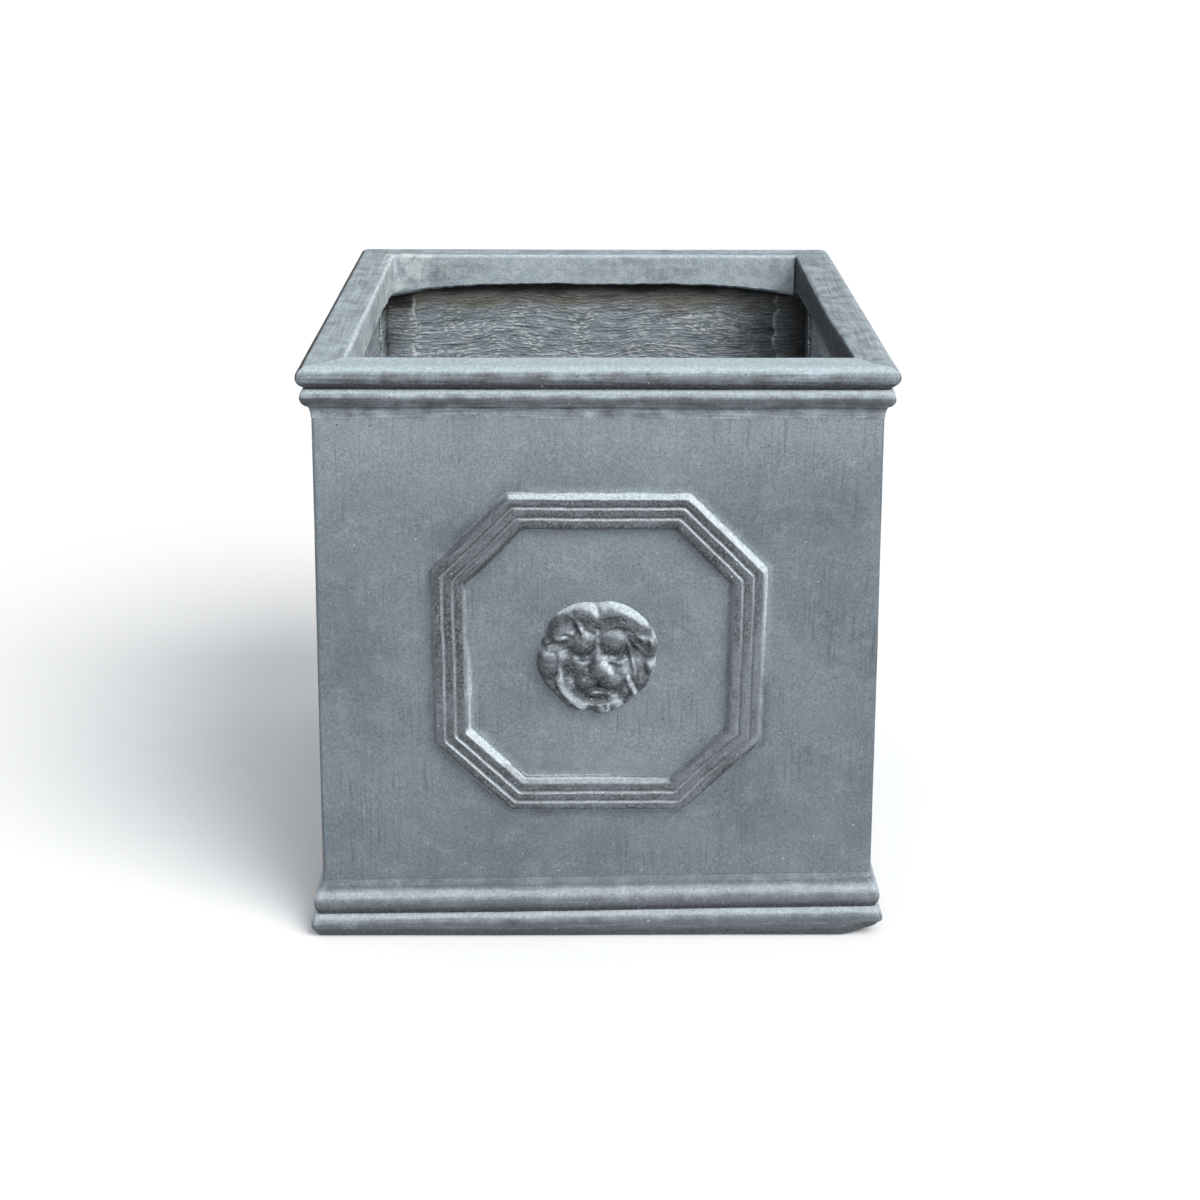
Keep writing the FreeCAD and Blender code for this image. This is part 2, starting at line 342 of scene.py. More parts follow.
def inner_finish(name, base_tone, stroke_tone, stain_tone):
    """Resin-rich inner coat, brushed on by hand over the fibre mat, darker and glossier than the outside,
    with painted glints and painted shadow.
    """
    material, tree, shader = new_material(name, 0.42, 0.5)
    place = add_node("TexCoord", {}, 3, tree)
    run = attribute(tree, "run_place", 1)
    sway = add_node("TexNoise", {"Vector": run, "Scale": 12.0, "Detail": 2.0}, output=1)
    sway = add_node("VectorMath", {0: sway, 1: (0.0, 0.03, 0.0)}, operation="MULTIPLY")
    run = add_node("VectorMath", {0: run, 1: sway}, operation="ADD")
    strokes = noise(run, 1, 5.0, (60, 250, 1))
    ridges = noise(run, 1, 2.0, (48, 600, 1))
    glints = noise(run, 1, 2.0, (230, 780, 1))
    clumps = noise(place, 60, 4.0)
    grain = noise(place, 800, 2.0)
    base = mixed(ramp(strokes, 0.34, 0.68), base_tone, stroke_tone)
    base = mixed(ramp(clumps, 0.42, 0.7, 0, 0.5), base, base_tone)
    # Painted highlight: pale glints on the strokes and ridges.
    painted_glints = times(ramp(glints, 0.53, 0.60), ramp(clumps, 0.42, 0.56, 0.15, 1.0))
    painted_glints = reckon("MAXIMUM", painted_glints, ramp(ridges, 0.60, 0.64, 0, 0.85))
    base = mixed(times(painted_glints, 0.75), base, painted_glint_tone)
    base = mixed(attribute(tree, "stain"), base, stain_tone)
    # Dirt, and painted shadow under the lip and in the corners, darken the coat.
    base = mixed(attribute(tree, "dirt_and_shade"), base, dirt_and_shadow_tone)
    base = mixed(attribute(tree, "bloom"), base, fibre_tone)
    tree.links.new(base, shader.inputs["Base Color"])
    tree.links.new(ramp(clumps, 0.3, 0.7, 0.28, 0.5), shader.inputs["Roughness"])
    relief(shader, [(clumps, 0.0016), (strokes, 0.0006), (ridges, 0.0013), (glints, 0.0010),
                    (grain, 0.0002)])
    return material


# Tones: two clouds of the base, a paler blot, rub marks, dirt and painted shade, dust and painted highlight,
# pits.
wall_tones = ((0.118, 0.142, 0.164, 1), (0.156, 0.186, 0.212, 1), (0.196, 0.231, 0.257, 1),
              (0.046, 0.052, 0.061, 1), (0.40, 0.46, 0.50, 1), (0.032, 0.035, 0.04, 1))
cast_face = cast_finish("lead_grey_cast", wall_tones, (620, 20, 1), 0.8, 0.04, 1.2, 0.2)
brushed_coat = inner_finish("brushed_coat", (0.235, 0.275, 0.305, 1), (0.36, 0.41, 0.45, 1),
                            (0.205, 0.19, 0.152, 1))


def octagon_distance(x, z):
    """Distance outside the panel's octagonal moulding, from its outer edge."""
    x, z = np.abs(x) - panel_half[0], np.abs(z - panel_middle) - panel_half[1]
    return np.maximum(np.maximum(x, z), (x + z + panel_leg) / math.sqrt(2))


outer_z = np.linspace(0, wall_top - 0.1, outer_rows)
inner_z = np.linspace(wall_top - 0.1, 0, inner_rows)
section_out = np.concatenate([wall_out(outer_z), wall_out(inner_z) - wall_thick])
section_z = np.concatenate([outer_z, inner_z])
section_corner = np.concatenate([np.full(outer_rows, wall_arris), np.full(inner_rows, inner_corner)])
wall_grid = side_grid(section_out, section_z, section_corner, wall_columns)
rows, columns = wall_grid.shape[:2]
wall_faces = grid_faces(rows, columns)
face_row = np.arange(rows)[:, None] + np.zeros((1, columns - 1))
wall_finish = np.append((face_row >= outer_rows - 1).astype(int).reshape(-1), [0, 0])
rough = np.arange(rows)[:, None] >= outer_rows
across, up = wall_grid[..., 0], wall_grid[..., 2]
near = octagon_distance(across, up)
for quarters, side in enumerate(SIDES):
    points = wander(turned(wall_grid, quarters))
    flat = wall_grid * (1, 0, 1)
    inward = turned(np.array([0.0, 1.0, 0.0]), quarters)
    tilt = 7 * lumps(flat, 60, 20 + quarters) + 0.12 * flat[..., 0]
    bent = flat + np.stack([0 * tilt, 0 * tilt, tilt], axis=-1)
    strokes = (0.45 * lumps(bent, (12, 1, 3.2), 5 + quarters) + 0.45 * lumps(bent, (30, 1, 7), 9 + quarters)
               + 0.45 * lumps(bent, (8, 1, 6), 13 + quarters))
    fading = smooth_step(wall_foot - np.abs(across), 8, 20)
    height = np.where(rough, stroke_relief * strokes * fading, 0.12 * lumps(flat, 26, 31 + quarters))
    points = points + height[..., None] * inward
    # Outside: wax and painted shade round the octagon's outer edge, a little darker low down, wax at the
    # arrises, streaks and painted light high up, painted highlight on coves that face the key light
    wax_and_shade_by_frame = smooth_step(-near, -8, 0) * (near > -3)
    wax_and_shade_by_frame = wax_and_shade_by_frame * smooth_step(lumps(flat, (9, 1, 30), 40 + quarters), 0, 0.8)
    wax_and_shade_by_frame = np.where(rough, 0, wax_and_shade_by_frame * 0.7 + 0.05 * smooth_step(-up, -200, -90))
    edge = smooth_step(np.abs(across) - wall_out(up), -3.0, -0.5)
    edge = edge * (0.45 + 0.5 * lumps(flat, (6, 1, 26), 48 + quarters))
    combed = smooth_step(up + 30 * lumps(flat, 40, 47 + quarters), 320, 370)
    combed = combed * (0.4 + 0.35 * smooth_step(np.abs(across + 10), 60, 120))
    lit = towards_light(across, up - panel_middle)
    # Painted light: paler high up and on the coves that face the key light; a little paler in the panel's
    # field.
    pale_and_lit = 0.24 * smooth_step(up + 25 * lumps(flat, 60, 45 + quarters), 300, 390)
    pale_and_lit = pale_and_lit + 0.09 * smooth_step(-near, 26, 34)
    pale_and_lit = pale_and_lit + 0.42 * hump(near, 0.5, 2.8) * smooth_step(lit, 0.35, 0.8)
    pale_and_lit = pale_and_lit + 0.42 * hump(near, -26.5, 2.8) * smooth_step(-lit, 0.35, 0.8)
    # Inside: painted shadow under the lip and in the back wall's right corner, and a stain below the lip
    shade = smooth_step(up + 3 * lumps(flat, 18, 4), 380, 388)
    if side == "back":
        shade = shade + 0.7 * smooth_step(points[..., 0], 85, 150) * smooth_step(up, 270, 360)
    stain = 0.85 * smooth_step(up + 4 * lumps(flat, 22, 3), 362, 377)
    extra = {"stain": np.where(rough, stain, combed), "dirt_and_shade": wax_and_shade_by_frame + np.where(rough, shade, edge),
             "dust_and_highlight": np.where(rough, 0, pale_and_lit)}
    make_piece("wall_panel_" + side, "wall_" + side, points, wall_faces,
               [cast_face, brushed_coat], brush_map(across, up, quarters), extra, wall_finish.tolist(),
               hollow_size=2.6)

# Coping
# Four lengths of cast moulding, mitred at the corners and set over the top edge of the walls: a bullnose, a
# quirk and a bead outside, and a lip inside whose lower edge hangs ragged, lowest in the corners.
rim_box = np.array(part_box("rim_front")) * 1000
unevenness = 0.4
rim_out = -rim_box[0, 1] - unevenness
rim_top = rim_box[1, 2] - unevenness
mouth = -rim_box[1, 1] + 0.3
nose_radius = 7.6
nose_corner = 2.6
mouth_corner = 4.0
bed_gap = 0.08
lip_middle = 25.0
lip_corner_extra = 10.2
mouth_bow = 3.4
edge_radius = 2.5
edge_bend = edge_radius * (1 - math.sqrt(0.5))
end_wear = 2.6
rim_columns = 150


def arc(start, through, end, count):
    """Points along an arc through three points, without its start."""
    (x1, y1), (x2, y2), (x3, y3) = start, through, end
    s1, s2, s3 = x1 * x1 + y1 * y1, x2 * x2 + y2 * y2, x3 * x3 + y3 * y3
    d = 2 * (x1 * (y2 - y3) + x2 * (y3 - y1) + x3 * (y1 - y2))
    x = (s1 * (y2 - y3) + s2 * (y3 - y1) + s3 * (y1 - y2)) / d
    y = (s1 * (x3 - x2) + s2 * (x1 - x3) + s3 * (x2 - x1)) / d
    radius = math.hypot(x1 - x, y1 - y)
    first, half, last = (math.atan2(b - y, a - x) for a, b in (start, through, end))
    turn = (last - first) % (2 * math.pi)
    if (half - first) % (2 * math.pi) > turn:
        turn -= 2 * math.pi
    steps = [first + turn * k / count for k in range(1, count + 1)]
    return [(x + radius * math.cos(step), y + radius * math.sin(step)) for step in steps]


def line(start, end, count):
    """Points along a straight line, without its start."""
    return [(start[0] + (end[0] - start[0]) * k / count, start[1] + (end[1] - start[1]) * k / count)
            for k in range(1, count + 1)]


def path(start, *moves):
    """Section from moves: a straight one is (end, count), an arc is (through, end, count)."""
    made = [start]
    for move in moves:
        made += line(made[-1], *move) if len(move) == 2 else arc(made[-1], *move)
    return made


nose_z = rim_top - nose_radius
nose_out = rim_out - nose_radius
cove_z = 381.2
outside = path(
    (nose_out, rim_top),
    ((rim_out, nose_z), (rim_out - 3.7, 402.9), 16),
    ((rim_out - 5.4, 402.2), (rim_out - 4.3, 401.3), 4),
    ((rim_out - 2.0, 397.6), (wall_out(389) + 2.0, 389.0), 16),
    ((wall_out(385.4) + 0.75, 385.4), (wall_out(cove_z) + 0.3, cove_z), 6),
    ((wall_out(cove_z) + bed_gap, cove_z), 1),
    ((wall_out(wall_top) + bed_gap, wall_top), 3),
    ((wall_out(wall_top) - wall_thick - 0.3, wall_top), 3),
)
lip_low = rim_top - lip_middle
lip_back = line((outside[-1][0], wall_top), (wall_out(381) - wall_thick - 0.2, lip_low + 1.5), 7)
lip_foot = arc(lip_back[-1], ((lip_back[-1][0] + mouth) / 2, lip_low - 0.3), (mouth, lip_low + 2.0), 8)
lip_face = line(lip_foot[-1], (mouth, rim_top - edge_radius), 14)
mouth_edge = arc(lip_face[-1], (mouth + edge_bend, rim_top - edge_bend), (mouth + edge_radius, rim_top), 5)
top_face = line(mouth_edge[-1], (nose_out, rim_top), 12)[:-1]
section = np.array(outside + lip_back + lip_foot + lip_face + mouth_edge + top_face)
corner = np.concatenate([
    np.full(len(outside) - 3, nose_corner), np.full(3 + len(lip_back), inner_corner),
    np.linspace(inner_corner, mouth_corner, len(lip_foot)),
    np.full(len(lip_face) + len(mouth_edge), mouth_corner),
    np.linspace(mouth_corner, nose_corner, len(top_face))])
out, up = section.T
row = np.arange(len(section))
hang = np.clip((wall_top - up) / (wall_top - rim_top + lip_middle), 0, 1.05)
hang[:len(outside)] = 0
rim_grid = side_grid(out, up, corner, rim_columns, gap=0.13)
dish = 0.35 * hump(out, 177, 6.5) * (up > rim_top - 0.1)
rim_grid[..., 2] -= dish[:, None]
around = np.concatenate([[0], np.cumsum(np.hypot(*np.diff(section, axis=0).T))])
rim_faces = grid_faces(*rim_grid.shape[:2])
lip = ((row >= len(outside) + len(lip_back)) & (out < mouth + 2))[:, None]
front_row = row < len(outside) - 4
bead_dust_and_highlight = smooth_step(up, 395.5, 398.5) * (up < 401.5) * front_row
quirk_shade = hump(up, 403.0, 1.6) * front_row
cove_row = smooth_step(-up, -389.5, -386) * front_row
under_bead = hump(up, 390.0, 2.4) * front_row
nosing_top = hump(up, 411.5, 2.4) * front_row
nosing = smooth_step(-np.abs(up - 406), -4.5, -2.5)[:, None] * front_row[:, None]
level = smooth_step(up, 411, 416) * (out > mouth + 1)
shaded_outer_edge = (smooth_step(out, nose_out + 2.0, nose_out + 4.0) * (up > 408))[:, None]
rim_tones = ((0.046, 0.049, 0.058, 1), (0.076, 0.082, 0.093, 1), (0.11, 0.118, 0.130, 1),
             (0.012, 0.014, 0.018, 1), (0.41, 0.48, 0.525, 1), (0.018, 0.019, 0.023, 1))
rim_finish = cast_finish("lead_grey_coping", rim_tones, (24, 620, 1), 1.1, 0.14, 10.0)
for quarters, side in enumerate(SIDES):
    grid = rim_grid.copy()
    x = grid[..., 0]
    along = grid * (1, 0, 0)
    ragged = 0.9 * lumps(along, 11, 50 + quarters) + 0.6 * lumps(along, 4.5, 60 + quarters)
    drop = lip_corner_extra * np.clip(np.abs(x) / mouth, 0, 1) ** 4 + np.clip(ragged, -1.2, 0.9)
    grid[..., 2] -= hang[:, None] * drop
    grid[..., 2] = np.maximum(grid[..., 2], rim_box[0, 2] + unevenness)
    bumps = 0.35 * lumps(grid, 17, 70 + quarters) + 0.15 * lumps(grid, 5, 75 + quarters)
    grid[..., 1] += np.where(lip, bumps, 0.07 * lumps(grid, 9, 77 + quarters))
    edge = hump(up - nose_z, 2, 7) * (out > nose_out)
    grid[..., 1] += np.clip(lumps(turned(grid, quarters), 7, 80) - 0.62, 0, 1) * 2.2 * edge[:, None]
    place = turned(grid, quarters)
    points = wander(place)
    diagonal = points[..., 0] - points[..., 1]
    inner_edge = smooth_step(-np.abs(points[..., :2]).max(axis=-1), -mouth - 14, -mouth - 4)
    points[..., 0] += mouth_bow * inner_edge * smooth_step(diagonal, 190, 320) * (points[..., 0] > 0)
    diagonal = points[..., 0] - points[..., 1]
    worn = end_wear * smooth_step(diagonal, 374, 390) * hump(points[..., 2], 401.0, 4.5)
    points[..., :2] -= worn[..., None] * (1, -1)
    # Lime bloom in the back left corner and on the lip
    spot = place - (-mouth + 2, mouth - 2, 402)
    far = np.linalg.norm(spot * (1, 0.4 if side == "left" else 0.75, 0.6), axis=-1)
    far = far + 16 * lumps(place, (8, 14, 8), 90)
    bloom = smooth_step(-far, -40, 2) * 0.9 * (out < mouth + 7)[:, None]
    bloom = bloom + {"back": 0.35, "left": 0.6}.get(side, 0) * lip
    # Dust on the lip, the beads and the cove, thinner on the flat top; painted highlight on the bead's top,
    # and none on the right lip, which faces away from the key light
    dust_and_highlight = {"right": 0.0, "back": 1.14}.get(side, 1.0) * lip
    dust_and_highlight = dust_and_highlight * (0.84 + 0.3 * lumps(grid, 24, 95 + quarters))
    lighter = {"front": -0.05, "right": -0.42, "back": -0.36, "left": -0.35}[side]
    dust_and_highlight = dust_and_highlight + (bead_dust_and_highlight * 0.6 + cove_row * 0.38 + level * lighter + under_bead * 0.14
                   + nosing_top * 0.18 - quirk_shade)[:, None]
    # Wax along the inner arris, worked into the nosing, and in scored lines at the back; painted shade in
    # the quirk, on the right lip and on the left length's outer edge
    arris = hump(row, len(section) - len(top_face) - 3, 1.6)[:, None]
    arris = arris * smooth_step(lumps(grid, (20, 1, 1), 98 + quarters), -0.2, 0.5) * 0.5
    dirt_and_shade = arris + (1.5 * quirk_shade - 0.6 * under_bead - cove_row - 0.3 * bead_dust_and_highlight)[:, None]
    worked = lumps(grid, (38, 1, 1.7), 88 + quarters) + 0.3 * lumps(grid, (7, 1, 1.2), 89)
    dirt_and_shade = dirt_and_shade + 0.95 * smooth_step(worked, 0.0, 0.6) * nosing
    # Painted shade on the right lip, which faces away from the key light.
    if side == "right":
        dirt_and_shade = dirt_and_shade + 0.45 * lip
    if side == "back":
        dirt_and_shade = dirt_and_shade + 0.5 * smooth_step(lumps(grid, (34, 1, 1.3), 91 + quarters), 0.5, 0.9) * lip
    # Painted shade on the left length's outer edge, turned away from the key light.
    if side == "left":
        dirt_and_shade = dirt_and_shade + shaded_outer_edge
        dust_and_highlight = dust_and_highlight - 0.9 * shaded_outer_edge
    make_piece("coping_" + side, "rim_" + side, points, rim_faces, [rim_finish],
               brush_map(x, around[:, None], quarters), {"bloom": bloom, "dust_and_highlight": dust_and_highlight, "dirt_and_shade": dirt_and_shade},
               dust_and_highlight_range=(0.35, 0.85))

# Base moulding
# Four cast lengths bonded to the outside of the walls' feet, mitred at the corners. From the ground up: an
# undercut foot, a bead, a quirk, a softer bead, and a cove that dies into the wall.
plinth_box = np.array(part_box("plinth_front")) * 1000
plinth_out = -plinth_box[0, 1] - unevenness
plinth_columns = 150
plinth_corner = 4.2
plinth_low = 0.4
plinth_high = 45.8
askew_rise = 3.0
foot_section = np.array(path(
    (wall_out(plinth_low) + bed_gap, plinth_low),
    ((plinth_out - 4.6, plinth_low), 3),
    ((plinth_out - 3.6, 0.9), (plinth_out - 2.8, 2.0), 3),
    ((plinth_out - 0.8, 6.6), 4),
    ((plinth_out, 10.5), (plinth_out - 0.9, 15.6), 8),
    ((plinth_out - 2.4, 18.6), (plinth_out - 4.2, 20.3), 5),
    ((plinth_out - 4.5, 20.9), (plinth_out - 4.2, 21.7), 3),
    ((wall_out(29) + 6.3, 28.5), (wall_out(35) + 4.4, 35.0), 12),
    ((wall_out(40) + 1.9, 39.6), (wall_out(plinth_high) + 0.3, plinth_high), 9),
    ((wall_out(plinth_high) + bed_gap, plinth_high), 1),
    ((wall_out(plinth_low) + bed_gap, 0.9), 6),
))
out, up = foot_section.T
plinth_grid = side_grid(out, up, np.full(len(foot_section), plinth_corner), plinth_columns, gap=0.1)
plinth_faces = grid_faces(*plinth_grid.shape[:2])
around = np.concatenate([[0], np.cumsum(np.hypot(*np.diff(foot_section, axis=0).T))])
# Rows of dust and painted highlight on the beads and the cove, painted shade in the quirk.
cove_row = smooth_step(up, 35, 39)
quirk_shade = hump(up, 23.5, 3.0) * (out > wall_out(23) + 1)
dust_and_highlight_rows = 0.2 * smooth_step(up, 39.5, 43) - 0.24 * hump(up, 40, 2.0) + 0.12 * hump(up, 30, 3)
dust_and_highlight_rows = dust_and_highlight_rows - 1.0 * (up > 45.5) - 0.5 * quirk_shade - 0.08
columns = plinth_grid.shape[1]
extra = {"dirt_and_shade": np.repeat(0.35 * quirk_shade - cove_row, columns), "dust_and_highlight": np.repeat(dust_and_highlight_rows, columns)}
plinth_tones = ((0.084, 0.094, 0.110, 1), (0.120, 0.133, 0.151, 1), (0.172, 0.188, 0.208, 1),
                (0.026, 0.028, 0.032, 1), (0.425, 0.478, 0.526, 1), (0.02, 0.021, 0.025, 1))
plinth_finish = cast_finish("lead_grey_base", plinth_tones, (26, 560, 1), 1.0, 0.12)
for quarters, side in enumerate(SIDES):
    grid = plinth_grid.copy()
    place = turned(grid, quarters)
    grid[..., 1] += 0.10 * lumps(grid, 10, 100 + quarters)
    chips = np.clip(lumps(place, 8, 105) - 0.66, 0, 1) * 2.0
    grid[..., 1] += chips * (out > plinth_out - 3)[:, None]
    points = wander(turned(grid, quarters))
    askew = points[..., 0] / plinth_out * smooth_step(-points[..., 1], -150, 190)
    points[..., 2] += askew_rise * askew * smooth_step(points[..., 2], 3, 16)
    make_piece("base_moulding_" + side, "plinth_" + side, points, plinth_faces,
               [plinth_finish], brush_map(grid[..., 0], around[:, None], quarters), extra,
               dust_and_highlight_range=(0.15, 0.7))

# Octagonal panel mouldings
# One on each wall: eight mitred runs of a three-ridged moulding, cast as one frame and bonded to the wall's
# face. The outer and inner feet are coved and run out on the panel.
ridge = 5.7
drawn_ridge = 6
corner_reach = 1.6
edge_points = 30


def seat(points, z):
    """Relief points (across, up, out), stood on the front wall's leaning face round a height."""
    lean = math.atan2(wall_foot - wall_head, wall_top)
    x, y, out = np.moveaxis(points, -1, 0)
    stand = wall_out(z) + out * math.cos(lean) - y * math.sin(lean)
    return np.stack([x, -stand, z + y * math.cos(lean) + out * math.sin(lean)], axis=-1)


def octagon_ring(inset):
    """Points round the octagon at an inset from its outer edge, with slightly softened corners."""
    half_x, half_y = panel_half[0] - inset, panel_half[1] - inset
    leg = panel_leg - inset * (2 - math.sqrt(2))
    right = [(half_x - leg, half_y), (half_x, half_y - leg), (half_x, leg - half_y), (half_x - leg, -half_y)]
    corners = np.array(right + [(-x, -y) for x, y in right])
    ring = []
    for k in range(8):
        start, end = corners[k], corners[(k + 1) % 8]
        before = corners[k - 1]
        step = corner_reach / np.linalg.norm(end - start)
        back = corner_reach / np.linalg.norm(before - start)
        ring.append(start + ((before - start) * back + (end - start) * step) / 4)
        ring += [start + (end - start) * share for share in np.linspace(step, 1 - step, edge_points)]
    return np.array(ring)


ridge_path = path(
    (-0.6, 0.0),
    ((0.3, 0.3), (0.9, 1.1), 3),
    ((2.3, 4.2), 4),
    ((2.7, 5.1), (3.8, 5.6), 3),
    ((5.4, 5.9), (7.2, 5.6), 4),
    ((7.5, 5.45), (7.8, 5.1), 2),
    ((8.7, 4.4), 2), ((9.6, 5.1), 2),
    ((9.9, 5.45), (10.4, 5.6), 2),
    ((12.4, 5.9), (14.5, 5.6), 5),
    ((14.8, 5.45), (15.1, 5.1), 2),
    ((16.0, 4.4), 2), ((16.9, 5.1), 2),
    ((17.2, 5.45), (17.7, 5.6), 2),
    ((19.4, 5.9), (21.2, 5.6), 4),
    ((22.3, 5.1), (22.9, 4.2), 3),
    ((24.7, 0.9), 4),
    ((25.6, 0.2), (27.0, 0.0), 3),
)
ridge_path += [(27.0, -0.6), (13.0, -0.6), (-0.6, -0.6)]
insets, rises = np.array(ridge_path).T
frame_grid = np.array([np.column_stack([ring, np.full(len(ring), rise)])
                       for ring, rise in zip(map(octagon_ring, insets), rises)])
frame_faces = grid_faces(*frame_grid.shape[:2], round_columns=True)
foot_row = (rises < 1.15) & (rises > -0.1)
crest_row = smooth_step(rises, 5.0, 5.6)
groove_row = hump(np.minimum(np.abs(insets - 8.9), np.abs(insets - 16.2)), 0, 0.75) * (rises > 1)
relief_tones = ((0.110, 0.124, 0.140, 1), (0.145, 0.163, 0.182, 1), (0.185, 0.207, 0.228, 1),
                (0.022, 0.022, 0.027, 1), (0.53, 0.595, 0.635, 1), (0.020, 0.021, 0.026, 1))
relief_finish = cast_finish("lead_grey_relief", relief_tones, (40, 500, 1), 1.2, 0.1, 4.0, 0.25)
steps = np.diff(frame_grid[12, :, :2], axis=0, prepend=frame_grid[12, :1, :2])
lengths = np.cumsum(np.linalg.norm(steps, axis=1))
flat = frame_grid * (1, 1, 0)
bearing = np.arctan2(flat[..., 1], flat[..., 0])
wiped = 0.8 * hump(bearing, -0.35, 0.6) + 0.6 * hump(bearing, 2.36, 0.35)
lit = towards_light(flat[..., 0], flat[..., 1]) * np.where(insets < 12, 1, -1)[:, None]
lit = smooth_step(lit, 0.35, 0.8)
outward = flat / (1 + np.linalg.norm(flat, axis=-1, keepdims=True))
for quarters, side in enumerate(SIDES):
    grid = frame_grid.copy()
    soften = 1 - 0.16 * smooth_step(lumps(flat, 60, 120 + quarters), 0.1, 0.8)
    worn = hump(np.linalg.norm((flat - (88, -96, 0)) / (22, 16, 1), axis=-1), 0, 1)
    soften = soften * (1 - (0.6 if side == "front" else 0.2) * worn)
    uneven = 0.14 * lumps(flat, 12, 125 + quarters) + 0.1 * lumps(flat, 4, 130 + quarters)
    raised = grid[..., 2] * soften * ridge / drawn_ridge + uneven
    grid[..., 2] = np.where(grid[..., 2] > 0.3, raised, grid[..., 2])
    shift = 0.35 * lumps(flat, (16, 16, 1), 138 + quarters) + 0.25 * lumps(flat, (5, 5, 1), 139 + quarters)
    grid = grid + outward * shift[..., None]
    points = wander(turned(seat(grid, panel_middle), quarters))
    # Dark wax in patches on the ridges, chalk in the grooves, painted highlight on the coves and faces that
    # look towards the key light
    patchy = 0.85 + 0.5 * lumps(flat, (34, 34, 1), 134 + quarters)
    patchy = patchy + 0.3 * lumps(flat, (7, 7, 1), 136 + quarters)
    patchy = patchy - wiped * (1 + 0.6 * lumps(flat, (9, 9, 1), 137 + quarters))
    dirt_and_shade = (0.88 * crest_row - 1.6 * foot_row - 0.5 * groove_row)[:, None] * patchy
    dust_and_highlight = (0.5 * groove_row)[:, None] * (0.9 - wiped) + 0.6 * foot_row[:, None] * lit
    low_foot = (insets > 20)[:, None] * (flat[..., 1] < -80)
    dust_and_highlight = dust_and_highlight - 0.42 * low_foot * (1 + smooth_step(flat[..., 0], 30, 75))
    make_piece("octagon_moulding_" + side, "octagon_frame_" + side, points, frame_faces,
               [relief_finish], brush_map(lengths, insets[:, None], quarters), {"dirt_and_shade": dirt_and_shade, "dust_and_highlight": dust_and_highlight},
               hollow_size=3.0, dust_and_highlight_range=(0.36, 0.8),
               dust_and_highlight_side=turned(np.array([0.55, 0.0, 0.83]), quarters))

# Lion-head bosses
# One in the middle of each octagon: a traditional lion's mask in low relief with a ring of mane curls, cast
# apart and bonded to the wall. Dark wax is left on the crowns, and the hollows and the rim are chalky;
# painted shade lies on its unlit sides and painted highlight on its lit sides.
mask_box = np.array(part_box("lion_mask_front")) * 1000
mask_middle = (mask_box[0, 2] + mask_box[1, 2]) / 2
mask_radius = 42.0
mask_top = 12.3
seat_depth = 0.6
cut_share = 0.55
blend = 1.6
ring_points = 340
ring_count = 74

# Outline of the mane as a share of the radius, at even steps of angle from the right, anticlockwise.
outline_shares = (0.92, 0.965, 1.0, 1.0, 1.0, 1.0, 1.0, 0.995, 0.985, 0.93, 0.97, 0.99, 0.99, 0.992, 0.995,
                  0.945, 0.955, 0.96, 0.98, 0.988, 0.96, 0.953, 0.915, 0.94, 0.962, 0.957, 0.89, 0.965,
                  0.945, 0.915, 0.912, 0.87, 0.89, 0.912, 0.904, 0.93)

# Places, half widths and half heights in these tables are in hundredths of the mask's radius.
# Rounded lumps: across, up, half width, half height, turn in degrees, crown height and fall in millimetres.
mask_lumps = (
    (-24, 33, 20, 19, -12, 12, 4.6), (26, 35, 22, 21, 10, 12.2, 4.6), (-10, 60, 12, 12, 0, 9.4, 3),
    (12, 60, 12, 12, 0, 9.4, 3), (2, 5, 10, 16, 0, 10.6, 4), (3, -8, 15, 16, 0, 11.8, 4.6),
    (3, -20, 23, 12, 0, 12.2, 4.6), (-20, -17, 6, 6, 0, 10.8, 3), (-18, -33, 18, 15, 8, 11.9, 4.4),
    (18, -33, 19, 15, -8, 11.9, 4.4), (-3, -53, 18, 8, 0, 9.8, 3.4), (18, -53, 12, 7, 20, 9, 3),
    (3, -69, 27, 10, 0, 8.8, 3), (42, -7, 15, 18, 0, 9, 3.6), (-79, -5, 19, 28, 5, 10, 4.4),
    (-86, 31, 10, 8, 0, 7.6, 3), (-55, 53, 25, 23, 10, 10.6, 4.6), (86, -6, 10, 17, 0, 9.4, 4),
    (65, -22, 12, 29, 6, 9.8, 4.2), (42, -52, 9, 14, 0, 9, 3.6), (54, -71, 13, 12, -20, 8.4, 3.8),
    (34, -80, 12, 10, 10, 8.2, 3.6), (6, -87, 15, 10, 0, 8.6, 3.8), (-79, -45, 12, 11, -30, 8.2, 3.4),
    (-68, -62, 10, 13, 30, 7.8, 3.2), (-50, -82, 13, 10, -45, 7.4, 3), (-30, -92, 14, 9, -15, 7.2, 3),
)

